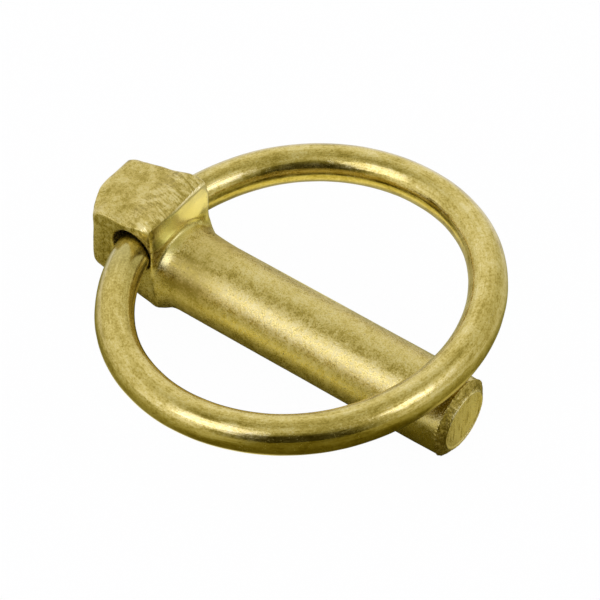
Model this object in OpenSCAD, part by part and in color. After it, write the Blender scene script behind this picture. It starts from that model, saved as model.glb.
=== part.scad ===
// Linch pin: a forged pin with a sprung wire ring that swings in the pin's eye.
// The shank lies along +X, and x = 0 is where its straight round part begins.

/* [Shank] */
// Diameter of the round shank
shank_d = 10; // [8:0.5:12]
// Length from the end of the collar fillet to the tip
shank_l = 38.7; // [30:0.1:60]
// Length of the parallel grip, from the collar fillet to where the closed ring's wire begins
grip_l = 34; // [25:0.1:55]
// Diameter at the end of the slight taper that leads on from the grip
lead_d = 9.9; // [7.9:0.05:9.9]
// Diameter of the cut face at the tip
tip_face_d = 7.6; // [5:0.1:7.8]
// Length of the chamfer at the tip
tip_chamfer_l = 0.8; // [0.3:0.1:2]

/* [Collar] */
// Radius of the fillet between the shank and the collar
fillet_r = 2.7; // [2.6:0.1:3.5]
// Distance from the start of the straight shank back to the collar face
collar_back = 2.4; // [1:0.1:2.5]
// Lean of the collar face above the fillet, away from the tip
collar_lean = 10; // [0:0.5:15]
// Distance from the collar face back to the front of the foot
foot_setback = 0.3; // [0:0.1:1]
// Length of the flat under the foot
foot_l = 0.7; // [0.3:0.1:1.5]
// Length of the flat land on top of the collar
land_l = 2.2; // [1:0.1:4]
// Length of the slope from the land down to the eye
land_slope_l = 2.8; // [2:0.1:4]
// Height of that slope
land_slope_h = 0.9; // [0.3:0.1:1]

/* [Eye] */
// How far each side face of the head stands out past the shank
cheek = 0.3; // [0.1:0.1:1]
// How far the head's foot reaches below the shank
foot = 0.15; // [0.05:0.05:0.5]
// How far the bore's axis lies below the top of the shank
bore_drop = 0.8; // [0:0.1:2]
// Least gap between the curved wire and the bore
bore_play = 0.12; // [0.08:0.01:0.3]
// Chamfer at each mouth of the bore
bore_mouth = 0.2; // [0.1:0.05:0.4]
// Metal between the bore and the collar face
front_wall = 0.9; // [0.8:0.05:3]
// Metal between the bore and the free end of the head
end_wall = 5.1; // [2:0.1:8]
// Metal over the bore, up to the land
roof = 2.35; // [1.5:0.05:4]
// Fall of the head's top from the foot of the land to the free end
top_fall = 0.6; // [0:0.1:2]
// Rise of the head's underside from the foot to the free end
belly_rise = 2.5; // [0:0.1:3]
// Radius of the long edges along the top of the head
shoulder_r = 1.6; // [0.5:0.1:2.5]
// Radius of the long edges along the underside of the head
belly_r = 3.3; // [1:0.1:4]
// Radius of the crowned free end, seen from above
crown_r = 13.2; // [8:0.1:20]
// How far the crown's centre lies to one side of the shank's axis
crown_skew = 1.9; // [0:0.1:3]
// Radius of the edges round the free end
end_edge_r = 1.2; // [0.5:0.1:2]

/* [Ring] */
// Diameter of the spring wire
wire_d = 4.7; // [3:0.1:5]
// Length of the oval ring to the middle of its wire, from the bore to the tip
ring_l = 42.8; // [36:0.1:60]
// Width of the oval ring to the middle of its wire
ring_w = 46.8; // [38:0.1:70]
// Angle by which the oval has crept round through the bore
ring_turn = 5.4; // [0:0.1:8]
// How far the ring has slid to one side in the bore
ring_slide = 0.5; // [0:0.1:1]
// Gap between the wire's two ends, inside the bore
end_gap = 1; // [0.5:0.1:3]
// Clearance between the closed ring and the shank
rest_gap = 0.05; // [0.02:0.01:0.3]

/* [Hidden] */
$fn = 96;
corner_steps = 8;

shank_r = shank_d / 2;
wire_r = wire_d / 2;
head_w = shank_d + 2 * cheek;
far = 4 * head_w;

// The ring is a four-centred oval, whose centres lie on 3-4-5 triangles.
oval_unit = (ring_w - ring_l) / 4;
nose_offset = 4 * oval_unit;
side_offset = 3 * oval_unit;
nose_r = ring_l / 2 + nose_offset;
side_r = ring_w / 2 - side_offset;

// The wire is curved, so it bows by this much across the head's width. The deepest point of
// its curve lies nose_y to one side of the shank's axis.
nose_y = nose_offset * sin(ring_turn) + ring_slide;
bore_bow = nose_r - sqrt(nose_r * nose_r - pow(head_w / 2 + nose_y, 2));
bore_r = wire_r + bore_bow / 2 + bore_play;
bore_x = -(collar_back + front_wall + bore_r);
bore_z = shank_r - bore_drop;

// Height at which the fillet meets the collar face
rim_z = shank_r + fillet_r - sqrt(fillet_r * fillet_r - collar_back * collar_back);

// Corners of the head's side outline, and root_x, the hidden end of the shank inside the head
foot_z = -(shank_r + foot);
foot_front_x = -collar_back - foot_setback;
foot_back_x = foot_front_x - foot_l;
root_x = foot_front_x - foot_l / 4;
land_z = bore_z + bore_r + roof;
land_front_x = -collar_back - (land_z - rim_z) * tan(collar_lean);
land_back_x = land_front_x - land_l;
eye_top_x = land_back_x - land_slope_l;
eye_top_z = land_z - land_slope_h;
end_x = bore_x - bore_r - end_wall;
end_top_z = eye_top_z - top_fall;
end_bottom_z = foot_z + belly_rise;

// Angle of the closed ring, where it lies on top of the shank
rest_angle = asin((shank_r + wire_r + rest_gap - bore_z) / (ring_l - bore_bow / 2));

// A corner is [x, z, radius]. A radius of 0 leaves it sharp.
function xz(corner) = [corner.x, corner.y];
function unit(v) = v / norm(v);
function corner_arc(a, b, c, r) =
    let (
        half_angle = acos(unit(a - b) * unit(c - b)) / 2,
        centre = b + unit(unit(a - b) + unit(c - b)) * r / sin(half_angle),
        first = b + unit(a - b) * r / tan(half_angle) - centre,
        last = b + unit(c - b) * r / tan(half_angle) - centre,
        start = atan2(first.y, first.x),
        turn = atan2(last.y, last.x) - start,
        sweep = turn > 180 ? turn - 360 : (turn < -180 ? turn + 360 : turn)
    )
    [
        for (i = [0:corner_steps])
            let (angle = start + sweep * i / corner_steps)
            centre + r * [cos(angle), sin(angle)]
    ];
function rounded(corners) = [
    for (i = [0:len(corners) - 1])
        let (
            last = len(corners) - 1,
            before = xz(corners[i == 0 ? last : i - 1]),
            here = xz(corners[i]),
            after = xz(corners[i == last ? 0 : i + 1]),
            r = corners[i].z
        )
        each (r > 0 ? corner_arc(before, here, after, r) : [here])
];

// Turns a shape drawn along Z to lie along the shank.
module along_shank() {
    rotate([0, 90, 0]) children();
}

module shank() {
    along_shank() rotate_extrude()
        polygon([
            [0, root_x],
            [shank_r, root_x],
            [shank_r, grip_l],
            [lead_d / 2, shank_l - tip_chamfer_l],
            [tip_face_d / 2, shank_l],
            [0, shank_l]
        ]);
}

// Section across the head: flat side faces, with one pair of long edges rounded
module head_section(edge_r) {
    translate([-head_w / 2, -far]) square([head_w, far - edge_r]);
    translate([-head_w / 2 + edge_r, -far]) square([head_w - 2 * edge_r, far]);
    for (side = [-1, 1])
        translate([side * (head_w / 2 - edge_r), -edge_r]) circle(r = edge_r);
}

// A long bar of that section, whose top runs through two points of the side outline
module head_bar(from, to, edge_r) {
    run = to - from;
    translate([from.x, 0, from.y])
        rotate([0, -atan2(run.y, run.x), 0])
        rotate([90, 0, 90])
        linear_extrude(2 * far, center = true)
        head_section(edge_r);
}

module upper_bar() {
    head_bar([end_x, end_top_z], [land_front_x, land_z + shoulder_r / 2], shoulder_r);
}

module lower_bar() {
    mirror([0, 0, 1]) head_bar([end_x, -end_bottom_z], [foot_back_x, -foot_z], belly_r);
}

module side_outline() {
    polygon(rounded([
        [land_front_x, land_z, 0],
        [land_back_x, land_z, 4],
        [eye_top_x, eye_top_z, 6],
        [end_x, end_top_z, end_edge_r],
        [end_x, end_bottom_z, end_edge_r],
        [foot_back_x, foot_z, 0],
        [foot_front_x, foot_z, 0],
        [-collar_back, rim_z, 0]
    ]));
}

// The straight long edges leave the land's front corners sharp and bite deeper towards the free end.
module head_block() {
    intersection() {
        rotate([90, 0, 0]) linear_extrude(2 * head_w, center = true) side_outline();
        upper_bar();
        lower_bar();
        translate([end_x + crown_r, crown_skew, 0])
            cylinder(r = crown_r, h = far, center = true);
    }
}

// Fillet from the shank up to the collar face, no wider or deeper than the head
module collar_fillet() {
    intersection() {
        along_shank() rotate_extrude() difference() {
            translate([0, root_x]) square([rim_z, -root_x]);
            translate([shank_r + fillet_r, 0]) circle(r = fillet_r);
        }
        mirror([0, 0, 1]) head_bar([-fillet_r, -foot_z], [0, -foot_z], belly_r);
    }
}

module bore() {
    translate([bore_x, 0, bore_z]) rotate([90, 0, 0]) {
        cylinder(r = bore_r, h = 2 * head_w, center = true);
        for (side = [0, 1])
            mirror([0, 0, side])
            translate([0, 0, head_w / 2 - bore_mouth])
            cylinder(r1 = bore_r, r2 = bore_r + 2 * bore_mouth, h = 2 * bore_mouth);
    }
}

module pin() {
    color("#c8b876") difference() {
        union() {
            shank();
            collar_fillet();
            head_block();
        }
        bore();
    }
}

// The part of a full bend between two lines through its centre, which rise 3 in 4
module bend(centre, bend_r, facing) {
    reach = ring_l + ring_w;
    sector = facing.x != 0
        ? [[0, 0], reach * [4 * facing.x, 3], reach * [4 * facing.x, -3]]
        : [[0, 0], reach * [4, 3 * facing.y], reach * [-4, 3 * facing.y]];
    translate([centre.x, centre.y, 0]) intersection() {
        rotate_extrude() translate([bend_r, 0]) circle(r = wire_r);
        linear_extrude(2 * wire_d, center = true) polygon(sector);
    }
}

// The flat oval ring about its own centre, open at its -X end
module oval_ring() {
    difference() {
        union() {
            for (end = [-1, 1])
                bend([-end * nose_offset, 0], nose_r, [end, 0]);
            for (side = [-1, 1])
                bend([0, side * side_offset], side_r, [0, side]);
        }
        translate([-ring_l / 2, 0, 0])
            cube([2 * wire_d, end_gap, 2 * wire_d], center = true);
    }
}

module ring() {
    color("#cdbb74")
        translate([bore_x, 0, bore_z])
        rotate([0, -rest_angle, 0])
        translate([nose_r - nose_offset * cos(ring_turn) - bore_bow / 2, ring_slide, 0])
        rotate([0, 0, ring_turn])
        oval_ring();
}

pin();
ring();
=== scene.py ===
import math
import bmesh
import bpy
from mathutils import Matrix, Vector, noise


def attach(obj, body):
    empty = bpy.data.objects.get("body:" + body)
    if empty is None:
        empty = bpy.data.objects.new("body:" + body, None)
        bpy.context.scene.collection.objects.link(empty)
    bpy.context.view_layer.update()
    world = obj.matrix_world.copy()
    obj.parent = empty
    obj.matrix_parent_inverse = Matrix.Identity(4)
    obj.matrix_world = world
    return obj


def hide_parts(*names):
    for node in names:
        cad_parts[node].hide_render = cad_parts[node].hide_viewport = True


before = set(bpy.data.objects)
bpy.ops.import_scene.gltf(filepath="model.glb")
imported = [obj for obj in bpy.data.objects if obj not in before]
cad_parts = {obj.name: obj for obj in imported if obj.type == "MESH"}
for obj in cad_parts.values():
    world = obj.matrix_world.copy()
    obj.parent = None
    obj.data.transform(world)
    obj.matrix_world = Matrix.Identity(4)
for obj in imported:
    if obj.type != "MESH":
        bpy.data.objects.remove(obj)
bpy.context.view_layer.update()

# Lengths below are millimetres in the part's own frame unless a name says otherwise.
MM = 0.001

# The ring, as the part gives it
WIRE_R = 2.35
NOSE_R = 25.4
NOSE_OFFSET = 4.0
SIDE_R = 20.4
SIDE_OFFSET = 3.0
END_GAP = 1.0
RING_TURN = 5.4
REST_ANGLE = 4.3264
RING_SLIDE = 0.5
BORE_X = -6.1512
BORE_Z = 4.2
BORE_BOW = 0.762393

# The pin, as the part gives it
TIP_X = 38.7
CHAMFER_L = 0.8
LEAD_R = 4.95
TIP_FACE_R = 3.8
CHAMFER_X = TIP_X - CHAMFER_L
CHEEK_Y = 5.3
FLOOR_Z = -5.15


def from_angles(azimuth, elevation):
    """The direction at an azimuth from +X and an elevation, both in degrees."""
    a = math.radians(azimuth)
    e = math.radians(elevation)
    return Vector((math.cos(a) * math.cos(e), math.sin(a) * math.cos(e), math.sin(e)))


# ---------------------------------------------------------------- shader bench

class Num:
    """A number in a node tree. Arithmetic on it adds the Math nodes."""

    def __init__(self, bench, socket):
        self.bench = bench
        self.socket = socket

    def math(self, operation, *rest, clamp=False):
        return self.bench.math(operation, self, *rest, clamp=clamp)

    def __add__(self, other):
        return self.math("ADD", other)

    def __radd__(self, other):
        return self.bench.math("ADD", other, self)

    def __sub__(self, other):
        return self.math("SUBTRACT", other)

    def __rsub__(self, other):
        return self.bench.math("SUBTRACT", other, self)

    def __mul__(self, other):
        return self.math("MULTIPLY", other)

    def __pow__(self, other):
        return self.math("POWER", other)

    def __neg__(self):
        return self.math("MULTIPLY", -1.0)

    def __abs__(self):
        return self.math("ABSOLUTE")

    def clamped(self):
        return self.math("ADD", 0.0, clamp=True)

    def between(self, none, full, out_none=0.0, out_full=1.0, smooth=True):
        """0 at none and 1 at full, and no more or less beyond them. Either may be the larger."""
        return self.bench.num(
            "ShaderNodeMapRange",
            {"interpolation_type": "SMOOTHSTEP" if smooth else "LINEAR", "clamp": True},
            {"Value": self, "From Min": none, "From Max": full, "To Min": out_none, "To Max": out_full},
        )


class Bench:
    """One node tree, cleared, with a short way to add nodes to it."""

    def __init__(self, tree):
        self.tree = tree
        tree.nodes.clear()

    def plug(self, socket, value):
        """Links a number or a socket into a socket, or sets its value."""
        if isinstance(value, Num):
            value = value.socket
        if isinstance(value, bpy.types.NodeSocket):
            self.tree.links.new(value, socket)
        elif isinstance(value, tuple) and socket.type == "RGBA":
            socket.default_value = (*value, 1.0)
        else:
            socket.default_value = value

    def node(self, kind, settings=None, sockets=None):
        """Adds a node: its settings first, then values or links for its sockets."""
        made = self.tree.nodes.new(kind)
        for name, value in (settings or {}).items():
            setattr(made, name, value)
        for key, value in (sockets or {}).items():
            self.plug(made.inputs[key], value)
        return made

    def num(self, kind, settings=None, sockets=None, out=0):
        return Num(self, self.node(kind, settings, sockets).outputs[out])

    def math(self, operation, *values, clamp=False):
        settings = {"operation": operation, "use_clamp": clamp}
        return self.num("ShaderNodeMath", settings, dict(enumerate(values)))

    def vector(self, operation, sockets):
        return self.node("ShaderNodeVectorMath", {"operation": operation}, sockets).outputs["Vector"]

    def measure(self, operation, *vectors):
        """A number made from vectors: DOT_PRODUCT, DISTANCE or LENGTH."""
        settings = {"operation": operation}
        return self.num("ShaderNodeVectorMath", settings, dict(enumerate(vectors)), "Value")

    def split(self, vector):
        parts = self.node("ShaderNodeSeparateXYZ", None, {"Vector": vector})
        return [Num(self, parts.outputs[axis]) for axis in "XYZ"]

    def join(self, x, y, z):
        return self.node("ShaderNodeCombineXYZ", None, {"X": x, "Y": y, "Z": z}).outputs[0]

    def place(self):
        """The point on its own object, in millimetres."""
        point = self.node("ShaderNodeTexCoord").outputs["Object"]
        return self.vector("SCALE", {0: point, "Scale": 1.0 / MM})

    def ahead(self, place, azimuth):
        """How far a place lies along a level direction."""
        return self.measure("DOT_PRODUCT", place, tuple(from_angles(azimuth, 0.0)))

    def near(self, place, spot, none, full):
        """1 within full millimetres of a spot, and 0 beyond none."""
        return self.measure("DISTANCE", place, spot).between(none, full)

    def facing(self, way, azimuth, elevation, none, full):
        """1 within full degrees of a direction, and 0 beyond none."""
        closeness = self.measure("DOT_PRODUCT", way, tuple(from_angles(azimuth, elevation)))
        return closeness.between(math.cos(math.radians(none)), math.cos(math.radians(full)))

    def ray(self, kind):
        """1 for rays of a kind and 0 for others."""
        return self.num("ShaderNodeLightPath", out="Is %s Ray" % kind)

    def seen(self):
        """1 for what is looked at, and 0 for what only lights the part or is mirrored in it."""
        return (self.ray("Camera") + self.ray("Transmission")).clamped()

    def noise(self, place, scale, detail=2.0, roughness=0.5, stretch=None, shift=None):
        """Soft noise from 0 to 1. Scale is lumps in a millimetre; stretch thins it along an axis."""
        if stretch:
            place = self.vector("MULTIPLY", {0: place, 1: stretch})
        if shift:
            place = self.vector("ADD", {0: place, 1: shift})
        return self.num(
            "ShaderNodeTexNoise", {"noise_dimensions": "3D"},
            {"Vector": place, "Scale": scale, "Detail": detail, "Roughness": roughness},
        )

    def tint(self, amount, below, above):
        """One colour over another by amount."""
        made = self.node("ShaderNodeMix", {"data_type": "RGBA", "clamp_factor": True})
        inputs = [socket for socket in made.inputs if socket.enabled]
        for socket, value in zip(inputs, (amount, below, above)):
            self.plug(socket, value)
        return next(socket for socket in made.outputs if socket.enabled)

    def close(self, shader):
        """Makes a shader's first output the material's or the world's."""
        kind = "ShaderNodeOutputWorld" if shader.type == "BACKGROUND" else "ShaderNodeOutputMaterial"
        self.node(kind, None, {"Surface": shader.outputs[0]})


def new_finish(name):
    """A fresh material and the bench for its nodes."""
    finish = bpy.data.materials.new(name)
    finish.use_nodes = True
    return finish, Bench(finish.node_tree)


# ---------------------------------------------------------------- finishes

PALE = (0.80, 0.69, 0.33)
GOLD = (0.665, 0.54, 0.180)
KHAKI = (0.50, 0.39, 0.095)
OLIVE = (0.37, 0.285, 0.060)
PIT = (0.13, 0.085, 0.015)
# Painted reflections on the collar's face, on its near half and on its far half, and on its foot where it
# turns into the shank
FACE_NEAR_REFLECTION = (0.84, 0.87, 0.46)
FACE_FAR_REFLECTION = (0.98, 0.87, 0.50)
TURN_REFLECTION = (0.74, 0.66, 0.25)
# The greyer colour of the painted shade on the wire beside the eye
EYE_SHADE = (0.47, 0.45, 0.22)


def zinc_tones(b, tone):
    """The four tones of the yellow zinc, from olive discolouring to pale bloom."""
    colour = b.tint(tone.between(0.30, 0.45, smooth=False), OLIVE, KHAKI)
    colour = b.tint(tone.between(0.42, 0.54, smooth=False), colour, GOLD)
    return b.tint(tone.between(0.54, 0.72, smooth=False), colour, PALE)


def lay_on(b, colour, roughness, relief):
    """Closes a metal finish. The relief is a height in millimetres."""
    bump = b.node("ShaderNodeBump", None, {"Height": relief, "Distance": MM, "Strength": 1.0})
    metal = b.node("ShaderNodeBsdfPrincipled", None, {
        "Base Color": colour,
        "Metallic": 1.0,
        "Roughness": roughness.clamped(),
        "Normal": bump.outputs["Normal"],
    })
    b.close(metal)


class PinZones:
    """The regions of the pin and its spots of painted light and shade, each 1 inside and 0 outside with a
    soft edge.
    """

    def __init__(self, b, place):
        x, y, z = b.split(place)
        self.regions(x, y, z)
        self.tip_regions(b, x, y, z)
        self.painted_light_and_shade(b, place, x, y, z)

    def regions(self, x, y, z):
        # the head's top, and the part of it in front of the crowned end
        self.top = z.between(7.0, 7.6) * x.between(-2.85, -3.2)
        self.before_crown = x.between(-9.5, -6.0)
        # the collar's face with its far half, and its turn into the shank
        self.face = (
            x.between(-2.2, -2.6) * x.between(-3.6, -3.2) * z.between(5.6, 6.2)
            * y.between(-5.15, -4.8) * (1.0 - self.top)
        )
        self.far_half = y.between(-2.5, 0.5)
        self.turn = x.between(-3.0, -2.5) * x.between(-1.2, -2.0) * z.between(1.5, 4.0)
        # the shank, and its first stretch beside the head
        self.shank = x.between(-1.5, 1.0)
        self.near_head = x.between(10.0, 2.0)

    def tip_regions(self, b, x, y, z):
        # the cut end, which is its chamfer and its disc, and the shank's last stretch before it
        self.end = x.between(CHAMFER_X - 0.1, CHAMFER_X + 0.05)
        self.disc = x.between(TIP_X - 0.20, TIP_X - 0.15)
        self.chamfer = self.end * (1.0 - self.disc)
        self.near_tip = x.between(31.0, 35.0) * (1.0 - self.end)
        # the lip round the disc
        reach = b.measure("LENGTH", b.join(0.0, y, z))
        inner = reach.between(TIP_FACE_R - 0.42, TIP_FACE_R - 0.22)
        outer = reach.between(TIP_FACE_R + 0.12, TIP_FACE_R - 0.08)
        self.lip = inner * outer * x.between(TIP_X - 0.3, TIP_X - 0.2)

    def painted_light_and_shade(self, b, place, x, y, z):
        # painted shade: a dark line along the head's top where it breaks over to the collar's skewed face
        square = x - y * COLLAR_SKEW
        self.edge_shade_line = square.between(-3.08, -3.0) * square.between(-2.78, -2.86) * z.between(7.6, 8.2)
        # the near front corner: a painted highlight on the shoulder, which is glossier there too, and a
        # painted dark reflection right at its point
        self.corner_highlight = b.near(place, (-4.6, -4.8, 8.85), 1.5, 0.7)
        self.corner_dark_reflection = b.near(place, (-2.95, -5.2, 8.35), 0.55, 0.35)
        # a painted dark reflection in a band along the shank's top, and painted shade on the near side of
        # the flare beside the collar
        around = b.math("ARCTAN2", y, z)
        self.shank_dark_band = (
            around.between(math.radians(-32.0), math.radians(-24.0))
            * around.between(math.radians(-8.0), math.radians(-15.0)) * self.shank
        )
        self.flare_shade = (
            around.between(math.radians(-85.0), math.radians(-65.0))
            * around.between(math.radians(-18.0), math.radians(-32.0))
            * x.between(-2.0, -1.0) * x.between(6.5, 1.5)
        )


def pin_finish():
    """Yellow zinc on the forging: satin, mottled, pitted, with strokes on the head's top and some painted
    light and shade.
    """
    finish, b = new_finish("forged_yellow_zinc")
    place = b.place()
    on = PinZones(b, place)

    blotch = b.noise(place, 0.42, 2.0, 0.5, shift=(7.0, 3.0, 1.0))
    mottle = b.noise(place, 1.1, 6.0, 0.76)
    grain = b.noise(place, 4.2, 3.0, 0.8, shift=(1.0, 5.0, 2.0))
    fine = b.noise(place, 9.0, 1.0, 0.5)
    # strokes of the dressing tool over the head's top, nearly in line with the shank
    turned = b.node(
        "ShaderNodeVectorRotate", {"rotation_type": "Z_AXIS"},
        {"Vector": place, "Angle": math.radians(17.5)},
    ).outputs[0]
    strokes = b.noise(turned, 1.0, 3.0, 0.6, stretch=(0.42, 2.6, 1.0))
    scratches = b.noise(turned, 1.0, 2.0, 0.6, stretch=(0.8, 9.0, 1.0), shift=(4.0, 0.0, 0.0))
    stroked = on.top * on.before_crown * blotch.between(0.30, 0.50)
    # rings left by turning on the shank, and scratches across the tip's face
    turning = b.noise(b.join(b.split(place)[0], 0.0, 0.0), 3.0, 3.0, 0.6)
    cut = b.noise(place, 1.0, 3.0, 0.65, stretch=(1.0, 3.5, 0.35), shift=(0.0, 2.0, 5.0))

    # how much of the forged roughness is left
    rough_skin = 1.0 - on.face * 0.80 - on.turn * (1.0 - on.face) * 0.45
    rough_skin = rough_skin * (1.0 - on.corner_highlight * 0.5) * (1.0 - on.near_tip * 0.45)

    speckle = (mottle - 0.5) + (grain - 0.5) * (1.2 - on.top * 0.5) + (fine - 0.5) * 0.4
    tone = 0.525 + speckle * rough_skin * (1.0 - on.shank * 0.30)
    tone = tone + (blotch - 0.5) * (0.45 - on.shank * 0.30)
    tone = tone + stroked * ((strokes - 0.5) * 1.05 + (scratches - 0.5) * 0.65)
    tone = tone + on.disc * ((cut - 0.5) * 2.1 + (blotch - 0.5) * 0.8 + (mottle - 0.5) * 0.5 + 0.14)
    tone = tone - on.top * 0.03 + on.shank * 0.048 - on.near_head * on.shank * 0.04
    # The lip round the disc is painted brighter: a painted highlight.
    tone = tone - on.chamfer * 0.13 + on.lip * 0.20
    # Painted highlight on the near front corner, painted dark reflection at its point, and painted shade
    # along the head's top edge.
    tone = tone + on.corner_highlight * 0.12 - on.corner_dark_reflection * 0.20 - on.edge_shade_line * 0.26
    # Painted dark reflection along the shank's top, and painted shade beside the collar.
    tone = tone - on.shank_dark_band * 0.055 - on.flare_shade * 0.14

    # Painted reflections: the turn into the shank and the collar's face take the colours that they
    # mirror.
    colour = b.tint(on.turn * 0.55, zinc_tones(b, tone), TURN_REFLECTION)
    colour = b.tint(on.face * 0.85, colour, b.tint(on.far_half, FACE_NEAR_REFLECTION, FACE_FAR_REFLECTION))
    pits = (grain + on.chamfer * 0.06).between(0.60, 0.70) * mottle.between(0.55, 0.42) * rough_skin
    colour = b.tint(pits * 0.75, colour, PIT)

    # glossy and frosted spots side by side
    frosted = (mottle * 0.5 + grain * 0.5).between(0.43, 0.57) * rough_skin
    roughness = 0.21 + frosted * 0.26 + pits * 0.2 + on.top * 0.05
    roughness = roughness - on.shank * (0.04 + frosted * 0.02 - on.near_head * 0.12)
    roughness = roughness - on.turn * 0.03 - on.corner_highlight * 0.12 + on.end * 0.08
    relief = (
        (grain * 0.030 + fine * 0.014 + mottle * 0.030) * rough_skin
        + stroked * (strokes * 0.12 + scratches * 0.025)
        + on.shank * (turning * 0.006 + on.disc * cut * 0.15 + on.lip * 0.14)
        - pits * 0.03
    )
    lay_on(b, colour, roughness, relief)
    return finish


def ring_finish():
    """Yellow zinc on drawn wire: glossier, with fine draw lines along the wire, dull smudges and painted
    shade beside the eye.
    """
    finish, b = new_finish("drawn_wire_yellow_zinc")
    place = b.node("ShaderNodeAttribute", {"attribute_name": "along_wire"}).outputs["Vector"]
    # millimetres along the wire from its middle, which lies over the tip
    length_on = b.split(place)[2]
    eye_shade = abs(length_on).between(57.0, 68.0)
    dull_bend = (-length_on).between(43.0, 49.0) * (-length_on).between(66.0, 57.0)

    drawn = b.noise(place, 1.0, 3.0, 0.6, stretch=(4.5, 4.5, 0.22))
    streak = b.noise(place, 1.0, 3.0, 0.5, stretch=(1.6, 1.6, 0.09), shift=(3.0, 8.0, 0.0))
    smudge = b.noise(place, 0.40, 3.0, 0.55, stretch=(1.0, 1.0, 0.6))
    mottle = b.noise(place, 1.1, 6.0, 0.76, stretch=(1.0, 1.0, 0.6))
    grain = b.noise(place, 4.5, 3.0, 0.8, stretch=(1.0, 1.0, 0.7))

    tone = 0.530 + (mottle - 0.5) * 0.60 + (smudge - 0.5) * 0.40 + (grain - 0.5) * 0.72
    tone = tone + (drawn - 0.5) * 0.25 + (streak - 0.5) * 0.25
    # Painted shade beside the eye, where the wire goes into the head: darker in smudges, and greyer.
    tone = tone - eye_shade * smudge.between(0.30, 0.60) * 0.16
    tone = tone - dull_bend * (0.015 + smudge.between(0.35, 0.62) * 0.07)
    pits = grain.between(0.60, 0.70) * smudge.between(0.55, 0.40)
    colour = b.tint(pits * 0.6, zinc_tones(b, tone), PIT)
    colour = b.tint(eye_shade * 0.5, colour, EYE_SHADE)

    frosted = (mottle * 0.4 + grain * 0.3 + smudge * 0.3).between(0.42, 0.60)
    roughness = 0.10 + frosted * 0.16 + pits * 0.15
    relief = drawn * 0.009 + streak * 0.032 + mottle * 0.008 + grain * 0.003
    lay_on(b, colour, roughness, relief)
    return finish


# ---------------------------------------------------------------- meshes

def lump(point, size, seed=0.0):
    """Smooth unevenness from about -1 to 1 at a point in millimetres."""
    return noise.noise(Vector(point) / size + Vector((seed, 2.0 * seed, -seed)))


def ease(value, low, high):
    """0 at low and 1 at high, with a soft turn."""
    t = min(1.0, max(0.0, (value - low) / (high - low)))
    return t * t * (3.0 - 2.0 * t)


def along(value, stations):
    """Reads a height off a line of (place, height) stations."""
    if value <= stations[0][0]:
        return stations[0][1]
    for (a, low), (b, high) in zip(stations, stations[1:]):
        if value <= b:
            return low + (high - low) * (value - a) / (b - a)
    return stations[-1][1]


def opened(mesh):
    """A mesh as a shape that can be edited."""
    shape = bmesh.new()
    shape.from_mesh(mesh)
    return shape


def as_mesh(shape, name):
    """Closes a shape into a mesh."""
    mesh = bpy.data.meshes.new(name)
    shape.to_mesh(mesh)
    shape.free()
    return mesh


def place_object(name, data):
    """A new object for a mesh, lamp or camera."""
    made = bpy.data.objects.new(name, data)
    bpy.context.scene.collection.objects.link(made)
    return made


def show(mesh, node, body, finish):
    """Puts a finished mesh in place of its node."""
    piece = place_object(mesh.name, mesh)
    mesh.materials.clear()
    mesh.materials.append(finish)
    for face in mesh.polygons:
        face.use_smooth = True
    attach(piece, body)
    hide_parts(node)


def even_skin(mesh, grid):
    """A copy of a millimetre mesh with an even net of small faces."""
    block = place_object("block", mesh)
    net = block.modifiers.new("net", "REMESH")
    net.mode = "VOXEL"
    net.voxel_size = grid
    net.adaptivity = 0.0
    depsgraph = bpy.context.evaluated_depsgraph_get()
    made = bpy.data.meshes.new_from_object(block.evaluated_get(depsgraph))
    bpy.data.objects.remove(block)
    return made


def smooth(shape, rounds, keep=None):
    """Relaxes the points that keep picks, or all of them."""
    verts = [v for v in shape.verts if keep is None or keep(v.co)]
    for _ in range(rounds):
        bmesh.ops.smooth_vert(
            shape, verts=verts, factor=0.5, use_axis_x=True, use_axis_y=True, use_axis_z=True,
        )


def refine(shape, keep):
    """Halves the edges whose two ends keep picks."""
    edges = [edge for edge in shape.edges if all(keep(v.co) for v in edge.verts)]
    bmesh.ops.subdivide_edges(shape, edges=edges, cuts=1, use_grid_fill=True)


def push_out(shape, push):
    """Moves every point along its normal by the push that its place calls for."""
    shape.normal_update()
    moved = [(vert, vert.co + vert.normal * push(vert.co)) for vert in shape.verts]
    for vert, place in moved:
        vert.co = place


# ---------------------------------------------------------------- pin

# The head's top as machined, and how the hammer left it: the crease and the edge of the sloping
# near shoulder, and how much the far edge stands up.
TOP = [(-14.1, 7.9), (-7.9, 8.5), (-5.1, 9.4), (-2.9, 9.4)]
CREASE_Y = [
    (-14.1, -1.6), (-12.0, -1.6), (-9.15, -1.96), (-7.4, -2.6), (-6.1, -3.75), (-4.7, -4.38),
    (-3.2, -4.96), (-2.6, -5.25),
]
EDGE_Z = [
    (-13.5, 6.2), (-12.0, 6.95), (-11.1, 7.65), (-10.2, 7.9), (-9.3, 7.95), (-8.4, 7.83),
    (-7.6, 7.78), (-6.7, 8.05), (-5.6, 8.45), (-4.7, 8.55), (-3.7, 8.45), (-2.6, 8.75),
]
FAR_RISE = [(-13.6, 0.0), (-12.0, 0.10), (-9.7, 0.30), (-7.4, 0.38), (-5.1, 0.55), (-2.6, 0.42)]

# The shank's flare up to the collar face, as its radius on the upper and on the lower side
FLARE = [
    (-2.75, 6.6), (-2.68, 5.97), (-2.65, 5.82), (-2.60, 5.70), (-2.52, 5.60), (-2.42, 5.53),
    (-2.30, 5.48), (-2.18, 5.455), (-1.0, 5.28), (0.2, 5.16), (1.4, 5.07), (2.8, 5.0),
]
LOWER_FLARE = [
    (-2.75, 6.6), (-2.35, 5.95), (-1.9, 5.72), (-1.4, 5.46), (-0.9, 5.30), (-0.4, 5.21),
    (0.8, 5.15), (2.8, 5.0),
]
FLARE_END_X = 2.8

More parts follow.
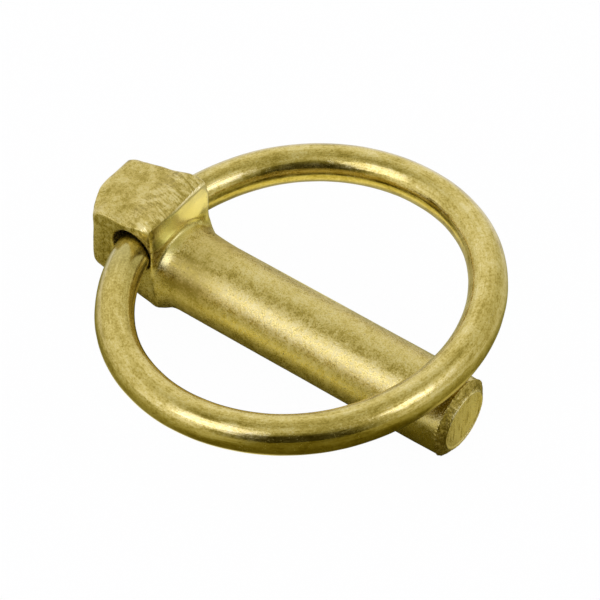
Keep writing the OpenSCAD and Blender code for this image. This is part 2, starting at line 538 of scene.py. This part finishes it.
# Outlines in x and z. Bars of the first two square up the head's long top edges before they are
# hammered, and the third is the forging's rib down the far cheek.
EDGE_FRONT = [(-7.9, 8.48), (-5.1, 9.38), (-2.95, 9.38), (-2.62, 7.6), (-4.0, 7.2), (-9.0, 7.2)]
NEAR_EDGE = [(-11.9, 5.6), (-11.9, 6.9), (-10.9, 8.1), *EDGE_FRONT]
FAR_EDGE = [(-12.4, 6.4), (-9.4, 8.2), *EDGE_FRONT]
CHEEK_RIB = [
    (-2.7, 6.3), (-2.35, 6.3), (-2.3, 4.3), (-2.0, 3.4), (-1.75, 2.5), (-1.5, 2.0), (-1.2, 1.6),
    (-0.6, 1.2), (-0.6, 0.2), (-2.7, 0.2),
]

# The collar's face: where it stands, its lean away from the tip for each millimetre above its
# rim, and how far it is pushed along the pin for each millimetre across it
FACE_X = -2.62
FACE_LEAN = 0.08
FACE_RIM_Z = 5.8
COLLAR_SKEW = 0.055

# Sides of the net's faces for the first and for the second skin
COARSE_NET = 0.2
FINE_NET = 0.182


def bar(shape, outline, y_in, y_out):
    """A straight bar with a side outline in x and z."""
    face = shape.faces.new([shape.verts.new((x, y_in, z)) for x, z in outline])
    grown = bmesh.ops.extrude_face_region(shape, geom=[face])["geom"]
    corners = [part for part in grown if isinstance(part, bmesh.types.BMVert)]
    bmesh.ops.translate(shape, verts=corners, vec=(0.0, y_out - y_in, 0.0))
    sides = {f for v in corners for f in v.link_faces} | {face}
    bmesh.ops.recalc_face_normals(shape, faces=list(sides))


def on_rib(y, z):
    return y > 4.3 and 0.0 < z < 6.6


def skew(x, y):
    """How far the collar's face is pushed along the pin, since it stands a little askew."""
    return COLLAR_SKEW * y * ease(x, -3.5, -2.9) * (1.0 - ease(x, -1.6, 0.2))


def hammered(p):
    """The head's softer form: a sloping near shoulder, a raised far edge, a skewed collar."""
    x, y, z = p
    if x < -1.6 and z > 4.0:
        top = along(x, TOP)
        crease = along(x, CREASE_Y)
        if y < crease:
            share = (crease - y) / (crease + CHEEK_Y)
            z = min(z, top - (top - along(x, EDGE_Z)) * share)
        z += along(x, FAR_RISE) * ease(y, -1.5, 4.6) * ease(z, 6.2, 8.2)
    reach = math.hypot(y, z)
    if FACE_X < x < FLARE_END_X and reach > 4.6 and not on_rib(y, z):
        if y < 0.0:
            lower = 1.0 - ease(math.degrees(math.atan2(z, -y)), -30.0, 20.0)
        else:
            lower = ease(-z, -1.0, 3.0)
        flare = along(x, FLARE) + (along(x, LOWER_FLARE) - along(x, FLARE)) * lower
        if reach > flare:
            y, z = y * flare / reach, z * flare / reach
        elif x > -2.3:
            grow = 1.0 + (flare / reach - 1.0) * (1.0 - lower)
            y, z = y * grow, z * grow
    if z > FACE_RIM_Z:
        x = min(x, FACE_X - FACE_LEAN * (z - FACE_RIM_Z))
    return Vector((x + skew(x, y), y, z))


def crisp_turn(p):
    """Draws the hollow between the collar's face and the shank back to its tight turn."""
    reach = math.hypot(p.y, p.z)
    square = p.x - skew(p.x, p.y)
    if not (-2.95 < square < -1.4 and 5.2 < reach < 6.5) or on_rib(p.y, p.z):
        return p
    spot = Vector((square, reach))
    nearest = None
    for a, b in zip(FLARE, FLARE[1:]):
        a, b = Vector(a), Vector(b)
        share = min(1.0, max(0.0, (spot - a).dot(b - a) / (b - a).length_squared))
        on_line = a + (b - a) * share
        if nearest is None or (on_line - spot).length < (nearest - spot).length:
            nearest = on_line
    if (nearest - spot).length > 0.35:
        return p
    upper = ease(p.z, 1.0, 3.0) * (1.0 - ease(abs(p.y), 4.3, 4.8))
    pull = upper * (1.0 - ease(reach, 6.2, 6.5)) * (1.0 - ease(square, -1.8, -1.4))
    drawn = spot.lerp(nearest, pull)
    return Vector((drawn.x + skew(p.x, p.y), p.y * drawn.y / reach, p.z * drawn.y / reach))


def dressed_tip(p):
    """The tip's chamfer with crisp edges, ragged where the cutter broke out, and a lip round its face."""
    x, reach = p.x, math.hypot(p.y, p.z)
    if x < CHAMFER_X - 0.45 or reach < 1e-6:
        return p
    fall = LEAD_R - TIP_FACE_R
    slant = math.hypot(fall, CHAMFER_L)
    over = ((x - TIP_X) * fall + (reach - TIP_FACE_R) * CHAMFER_L) / slant
    spot = Vector((x, p.y, p.z))
    wide = reach
    if reach < TIP_FACE_R + 0.05 and x > TIP_X - 0.3:
        lip = 0.08 * ease(reach, TIP_FACE_R - 0.30, TIP_FACE_R - 0.12)
        x = TIP_X - 0.08 + lip + 0.02 * lump(spot, 1.4, 7.0)
    elif over > -0.2:
        x, wide = x - over * fall / slant, reach - over * CHAMFER_L / slant
        ragged = 0.07 * lump(spot, 0.6, 2.0) + 0.05 * lump(spot, 0.3, 4.0)
        ragged *= ease(wide, TIP_FACE_R, TIP_FACE_R + 0.25)
        burr = 0.07 * ease(wide, LEAD_R - 0.35, LEAD_R - 0.05) * (0.5 + lump(spot, 0.5, 9.0))
        x, wide = x + ragged * fall / slant, wide + (ragged + burr) * CHAMFER_L / slant
    scale = wide / reach
    return Vector((x, p.y * scale, p.z * scale))


def set_down(p):
    """Keeps the lowest faces flat on the surface that the part lies on."""
    return Vector((p.x, p.y, max(p.z, FLOOR_Z)))


def far_top_edge(p):
    return p.x < -2.6 and p.y > 4.1 and p.z > along(p.x, TOP) - 1.0


def upright_corner(p):
    """Close to the head's upright corners, which the hammer has rounded."""
    if p.z >= 9.0 or p.x > -2.0 or abs(p.y) < 4.2:
        return False
    return p.x < -11.6 or (p.x > -3.4 and p.y < 0 and p.z > 5.6)


def shank_flare(p):
    return -1.9 < p.x < 4.0 and math.hypot(p.y, p.z) < 6.2


def far_corner(p):
    """The hollow where the collar's face, the shank and the rib down the far cheek meet."""
    return -2.72 < p.x < -0.4 and p.y > 3.0 and 0.6 < p.z < 6.0


def at_tip(p):
    return p.x > CHAMFER_X - 0.5


def at_turn(p):
    """Round the tight turn from the collar's face to the shank."""
    return -3.1 < p.x < -1.5 and math.hypot(p.y, p.z) < 6.6 and p.z > -1.0


def forging_unevenness(p):
    on_head = 1.0 - ease(p.x, -2.8, -1.8)
    return 0.07 * lump(p, 2.6) * on_head + 0.02 * lump(p, 5.0, 3.0)


def forged_pin(finish):
    """The pin with the softness of a forging: worn edges, uneven faces and a ragged tip."""
    shape = opened(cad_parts["pin"].data)
    bmesh.ops.remove_doubles(shape, verts=shape.verts, dist=2e-6)
    bmesh.ops.scale(shape, verts=shape.verts, vec=(1.0 / MM,) * 3)
    bar(shape, NEAR_EDGE, -3.4, -CHEEK_Y)
    bar(shape, FAR_EDGE, 3.4, CHEEK_Y)
    bar(shape, CHEEK_RIB, 4.0, CHEEK_Y - 0.05)

    shape = opened(even_skin(as_mesh(shape, "machined_pin"), COARSE_NET))
    for vert in shape.verts:
        vert.co = hammered(vert.co)

    shape = opened(even_skin(as_mesh(shape, "hammered_pin"), FINE_NET))
    smooth(shape, 3)
    smooth(shape, 14, far_top_edge)
    smooth(shape, 22, upright_corner)
    smooth(shape, 10, shank_flare)
    smooth(shape, 14, far_corner)
    push_out(shape, forging_unevenness)

    refine(shape, at_tip)
    refine(shape, at_turn)
    for vert in shape.verts:
        vert.co = set_down(crisp_turn(dressed_tip(vert.co)))
    smooth(shape, 30, far_corner)
    bmesh.ops.scale(shape, verts=shape.verts, vec=(MM,) * 3)
    show(as_mesh(shape, "pin_forging"), "pin", "pin", finish)


# ---------------------------------------------------------------- ring

ROUND_THE_WIRE = 64
SPIN_STEP = 0.4
# The oval's bends meet on lines from its centre that rise 3 in 4.
BEND_RISE = 0.75
# Radius that stands for both bends where places along the wire are measured
MEAN_BEND_R = 22.4


def bent_wire():
    """The flat oval of round wire about its own centre, spun bend by bend, open at its -X end."""
    shape = bmesh.new()
    rise = math.atan(BEND_RISE)
    end = math.asin(END_GAP / 2 / NOSE_R)
    bends = [
        ((NOSE_OFFSET, 0.0), NOSE_R, rise - end),
        ((0.0, -SIDE_OFFSET), SIDE_R, math.pi - 2 * rise),
        ((-NOSE_OFFSET, 0.0), NOSE_R, 2 * rise),
        ((0.0, SIDE_OFFSET), SIDE_R, math.pi - 2 * rise),
        ((NOSE_OFFSET, 0.0), NOSE_R, rise - end),
    ]
    profile = bmesh.ops.create_circle(shape, segments=ROUND_THE_WIRE, radius=WIRE_R)["verts"]
    stand = (
        Matrix.Translation((NOSE_OFFSET, 0.0, 0.0))
        @ Matrix.Rotation(math.pi + end, 4, "Z")
        @ Matrix.Translation((NOSE_R, 0.0, 0.0))
        @ Matrix.Rotation(math.pi / 2, 4, "X")
    )
    bmesh.ops.transform(shape, matrix=stand, verts=profile)
    ends = [list(shape.edges)]
    rim = [*profile, *shape.edges]
    for (x, y), radius, angle in bends:
        rim = bmesh.ops.spin(
            shape, geom=rim, cent=(x, y, 0.0), axis=(0.0, 0.0, 1.0), angle=angle,
            steps=max(8, round(radius * angle / SPIN_STEP)), use_merge=False, use_duplicate=False,
        )["geom_last"]
    ends.append([part for part in rim if isinstance(part, bmesh.types.BMEdge)])
    for edges in ends:
        bmesh.ops.edgeloop_fill(shape, edges=edges)
    bmesh.ops.recalc_face_normals(shape, faces=shape.faces)
    return shape


def pulled_straight(p):
    """Where a point lies on the wire as if it were pulled straight: across, across, along."""
    if abs(p.y) <= BEND_RISE * (abs(p.x) + NOSE_OFFSET):
        middle = Vector((-math.copysign(NOSE_OFFSET, p.x), 0.0))
        radius = NOSE_R
    else:
        middle = Vector((0.0, math.copysign(SIDE_OFFSET, p.y)))
        radius = SIDE_R
    out = (p.xy - middle).length - radius
    return Vector((out, p.z, math.atan2(p.y, p.x) * MEAN_BEND_R))


def wire_unevenness(p):
    return 0.025 * lump(p, 4.5, 1.0) + 0.012 * lump(p, 1.7, 5.0)


def sprung_ring(finish):
    """The ring in its eye, closed on the shank, with its open ends hidden in the bore."""
    shape = bent_wire()
    along_wire = shape.verts.layers.float_vector.new("along_wire")
    for vert in shape.verts:
        vert[along_wire] = pulled_straight(vert.co)
    push_out(shape, wire_unevenness)

    turn = math.radians(RING_TURN)
    centre_x = NOSE_R - NOSE_OFFSET * math.cos(turn) - BORE_BOW / 2
    place = (
        Matrix.Translation((BORE_X, 0.0, BORE_Z))
        @ Matrix.Rotation(math.radians(-REST_ANGLE), 4, "Y")
        @ Matrix.Translation((centre_x, RING_SLIDE, 0.0))
        @ Matrix.Rotation(turn, 4, "Z")
    )
    bmesh.ops.transform(shape, matrix=Matrix.Scale(MM, 4) @ place, verts=shape.verts)
    show(as_mesh(shape, "wire_ring"), "ring", "ring", finish)


# ---------------------------------------------------------------- studio

# Panels on the studio's walls: azimuth, elevation, degrees from its middle to where it fades out
# and to where it is full, and how much brighter than the wall it is
PANELS = {
    "far wall": (150.0, 48.0, 45.0, 15.0, 0.17),
    "right wall": (58.0, 5.0, 50.0, 20.0, -0.19),
    "skirt": (-122.0, 10.0, 34.0, 8.0, 0.22),
    "gap": (-165.0, 67.0, 18.0, 5.0, -0.19),
    "far edge": (113.0, 13.0, 22.0, 8.0, 0.12),
    "hood": (-92.0, 68.0, 22.0, 6.0, 0.18),
    "left wall": (-146.0, 42.0, 18.0, 6.0, 0.14),
    "side glow": (33.0, 53.0, 24.0, 7.0, 0.34),
}
# The dark screen behind the camera, in the same terms, and the share of light that it takes
SCREEN = (-50.0, 10.0, 58.0, 22.0)
SCREEN_TAKES = 0.95

# Lit patches of the floor: middle, millimetres to where it fades out and to where it is full,
# and how bright it is
LIT_PATCHES = {
    "far side, in front of the collar": ((8.2, 12.6), 8.0, 3.5, 0.60),
    "past the tip": ((42.0, 5.0), 9.0, 3.0, 0.38),
    "near side of the eye": ((0.0, -14.0), 10.0, 4.0, 0.22),
}
# Middle of the ring as it lies on the floor
RING_MIDDLE = (11.5, 0.5, FLOOR_Z)
FLOOR_HALF_WIDTH_M = 6.0
# The floor lies this far under the part, so that their faces never coincide.
FLOOR_DROP_M = 0.00002
# Share of the white behind it that the floor lets through to the eye
FLOOR_CLEAR = 0.98

LAMPS_AIM_M = Vector((0.010, 0.0, 0.0))


def set_camera(aim, distance, azimuth, elevation, roll, lens):
    """The camera, looking at aim from a distance, both in millimetres."""
    back = from_angles(azimuth, elevation)
    level = Vector((0.0, 0.0, 1.0)).cross(back).normalized()
    rise = back.cross(level)
    r = math.radians(roll)
    right = level * math.cos(r) + rise * math.sin(r)
    up = back.cross(right)
    data = bpy.data.cameras.new("camera")
    data.lens = lens
    data.sensor_width = 36.0
    data.clip_start = 0.01
    data.clip_end = 50.0
    camera = place_object("camera", data)
    turn = Matrix((right, up, back)).transposed().to_4x4()
    camera.matrix_world = Matrix.Translation((Vector(aim) + back * distance) * MM) @ turn
    bpy.context.scene.camera = camera


def soft_box(name, azimuth, elevation, distance_m, width_m, height_m, glow, colour):
    """An area lamp aimed at the part. Glow is how bright its face looks, where 1 is white."""
    data = bpy.data.lights.new(name, "AREA")
    data.shape = "RECTANGLE"
    data.size = width_m
    data.size_y = height_m
    data.energy = glow * math.pi * width_m * height_m
    data.color = colour
    lamp = place_object(name, data)
    away = from_angles(azimuth, elevation)
    turn = away.to_track_quat("Z", "Y").to_matrix().to_4x4()
    lamp.matrix_world = Matrix.Translation(LAMPS_AIM_M + away * distance_m) @ turn


def warm_grey(b, level, warmth):
    """A studio surface of this level: white ones stay white, and dark ones turn warm by the warmth."""
    return b.join(level, level ** (1.0 + (warmth - 1.0) * 0.07), level ** warmth)


def studio_walls():
    """Walls of plain white to look at. The part is lit by pale grey ones, and mirrors near-white
    ones with brighter and dimmer panels, a dimmer ceiling and a dark screen behind the camera."""
    world = bpy.data.worlds.new("studio_walls")
    bpy.context.scene.world = world
    world.use_nodes = True
    b = Bench(world.node_tree)
    way = b.node("ShaderNodeTexCoord").outputs["Generated"]
    ceiling = b.split(way)[2].between(0.55, 0.95)
    level = 0.86 - ceiling * 0.34
    for *panel, gain in PANELS.values():
        level = level + b.facing(way, *panel) * gain
    level = level * (1.0 - b.facing(way, *SCREEN) * SCREEN_TAKES)
    colour = b.tint(b.ray("Glossy"), (0.80, 0.80, 0.80), warm_grey(b, level, 1.7))
    colour = b.tint(b.seen(), colour, (1.0, 1.0, 1.0))
    b.close(b.node("ShaderNodeBackground", None, {"Color": colour, "Strength": 1.0}))


def mirrored_floor(b, place):
    """How pale the floor looks where the metal mirrors it: bright inside the ring and behind the
    part, dim close by, and darkened by the screen in a wedge towards the camera."""
    x, y, _ = b.split(place)
    ahead = b.ahead(place, -47.0)
    aside = abs(b.ahead(place, 43.0) - 11.0)
    screened = ahead.between(16.0, 34.0) * (aside - ahead * 0.40).between(17.0, 2.0)
    behind = b.ahead(place, 120.0).between(-10.0, 25.0)
    around = (0.62 + behind * 0.42) * (1.0 - screened * 0.55)
    around = around * (1.0 - b.near(place, RING_MIDDLE, 58.0, 28.0) * 0.45)
    around = around * x.between(45.0, 20.0, 0.76, 1.0)
    within = (0.28 + abs(y).between(6.0, 18.0) * 0.42) * x.between(33.0, 20.0, 0.55, 1.0)
    return around + (within - around) * b.near(place, RING_MIDDLE, 27.0, 21.0)


def lit_floor(b, place):
    """How bright the lit patches of the floor are: a strip beside the shank and a few round ones."""
    x, y, _ = b.split(place)
    strip = (-y).between(8.0, 16.0) * (-y).between(25.0, 19.0)
    level = strip * x.between(-3.0, 5.0) * x.between(30.0, 22.0) * 0.56
    for middle, none, full, gain in LIT_PATCHES.values():
        level = level + b.near(place, (*middle, FLOOR_Z), none, full) * gain
    return level


def pale_floor():
    """A pale sheet under the part. It looks all but white, keeps a trace of the part's shadow, and
    shows what lies below it."""
    sheet = bmesh.new()
    bmesh.ops.create_grid(sheet, x_segments=8, y_segments=8, size=FLOOR_HALF_WIDTH_M)
    bmesh.ops.translate(sheet, verts=sheet.verts, vec=(0.0, 0.0, FLOOR_Z * MM - FLOOR_DROP_M))
    floor = place_object("floor", as_mesh(sheet, "floor"))

    finish, b = new_finish("pale_floor")
    place = b.place()
    lit = lit_floor(b, place)
    glossy = b.ray("Glossy")
    paper = b.node("ShaderNodeBsdfPrincipled", None, {
        "Base Color": b.tint(glossy, (0.85, 0.85, 0.88), warm_grey(b, mirrored_floor(b, place), 2.3)),
        "Roughness": 1.0,
        "Specular IOR Level": 0.0,
        "Emission Color": b.tint(glossy, (0.0, 0.0, 0.0), b.join(lit, lit * 0.92, lit * 0.42)),
        "Emission Strength": 1.0,
    })
    clear = b.node("ShaderNodeBsdfTransparent", None, {"Color": (1.0, 1.0, 1.0)})
    b.close(b.node("ShaderNodeMixShader", None, {
        0: b.seen() * FLOOR_CLEAR,
        1: paper.outputs[0],
        2: clear.outputs[0],
    }))
    floor.data.materials.append(finish)


set_camera(
    aim=(14.129, 1.227, 3.425), distance=367.66,
    azimuth=-56.2974, elevation=46.6213, roll=2.9325, lens=186.36,
)
studio_walls()
pale_floor()
soft_box(
    "key", azimuth=-104.5, elevation=41.0, distance_m=0.60,
    width_m=0.37, height_m=0.38, glow=1.22, colour=(0.95, 1.0, 1.62),
)
soft_box(
    "second", azimuth=13.5, elevation=44.5, distance_m=0.60,
    width_m=0.21, height_m=0.22, glow=1.38, colour=(0.95, 1.02, 2.0),
)
forged_pin(pin_finish())
sprung_ring(ring_finish())
bpy.context.scene.view_settings.view_transform = "Standard"
